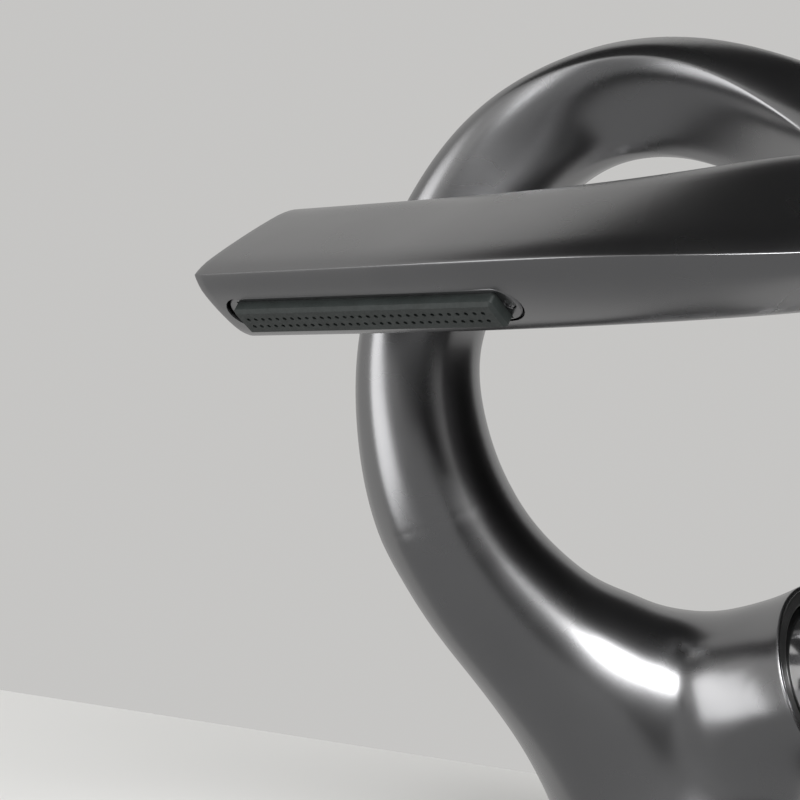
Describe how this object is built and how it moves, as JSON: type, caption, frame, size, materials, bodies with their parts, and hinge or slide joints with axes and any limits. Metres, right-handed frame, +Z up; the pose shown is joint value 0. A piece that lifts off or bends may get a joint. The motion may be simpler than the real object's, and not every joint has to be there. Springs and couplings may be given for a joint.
{
  "type": "basin mixer faucet",
  "caption": "Single-lever deck-mounted basin mixer: a round base, a side lever, and a stem that loops over into a faceted spout bar with a long slot outlet.",
  "frame": {"origin": "centre of the base circle, on the deck's upper face", "axes": "+Z up out of the deck; +X horizontally towards the handle side; -Y towards the user, the side the outlet bar is on"},
  "size_m": [0.1583, 0.1561, 0.2546],
  "materials": {
    "gunmetal": "satin gun-metal plating",
    "polished_gunmetal": "brighter, finer gun-metal plating",
    "zinc_steel": "zinc plated",
    "stainless": "bright",
    "brass": "machined",
    "rubber": "matt black",
    "nozzle_rubber": "matt dark grey",
    "black_plastic": "fine matt black",
    "cartridge_plastic": "off-white moulding",
    "rotor_plastic": "dark grey moulding",
    "screen_plastic": "grey moulding",
    "alumina": "lapped alumina"
  },
  "bodies": {
    "faucet_body": {"body_casting": "gunmetal", "base_gasket": "rubber", "mounting_stud": "zinc_steel", "clamp_washer_rubber": "rubber", "clamp_washer_steel": "zinc_steel", "mounting_nut": "brass", "cartridge_housing": "cartridge_plastic", "cartridge_base": "cartridge_plastic", "cartridge_seals": "rubber", "fixed_disc": "alumina", "cartridge_nut": "brass", "trim_ring": "black_plastic", "outlet_holder": "gunmetal", "outlet_nozzle": "nozzle_rubber", "outlet_gasket": "rubber", "outlet_screws": "stainless", "flow_screen": "screen_plastic"},
    "rotor": {"cartridge_rotor": "rotor_plastic", "stem_pin": "stainless"},
    "handle": {"cartridge_stem": "brass", "handle_cap": "polished_gunmetal", "handle_lever": "polished_gunmetal", "handle_screw": "stainless", "screw_plug": "black_plastic"},
    "disc": {"moving_disc": "alumina", "disc_carrier": "rotor_plastic"}
  },
  "joints": [
    {"name": "handle_temperature", "type": "hinge", "parent": "faucet_body", "child": "rotor", "pos_m": [0, 0, 0.0387], "axis": [0.9511, 0, 0.309], "range_deg": [-45, 45]},
    {"name": "handle_flow", "type": "hinge", "parent": "rotor", "child": "handle", "pos_m": [0.03139, 0, 0.0489], "axis": [0, -1, 0], "range_deg": [0, 20]},
    {"name": "disc_slide", "type": "slide", "parent": "rotor", "child": "disc", "axis": [0.309, 0, -0.9511], "range_m": [0, 0.0085]}
  ],
  "couplings": [
    {"joint": "disc_slide", "follows": "handle_flow", "m_per_rad": 0.024}
  ]
}
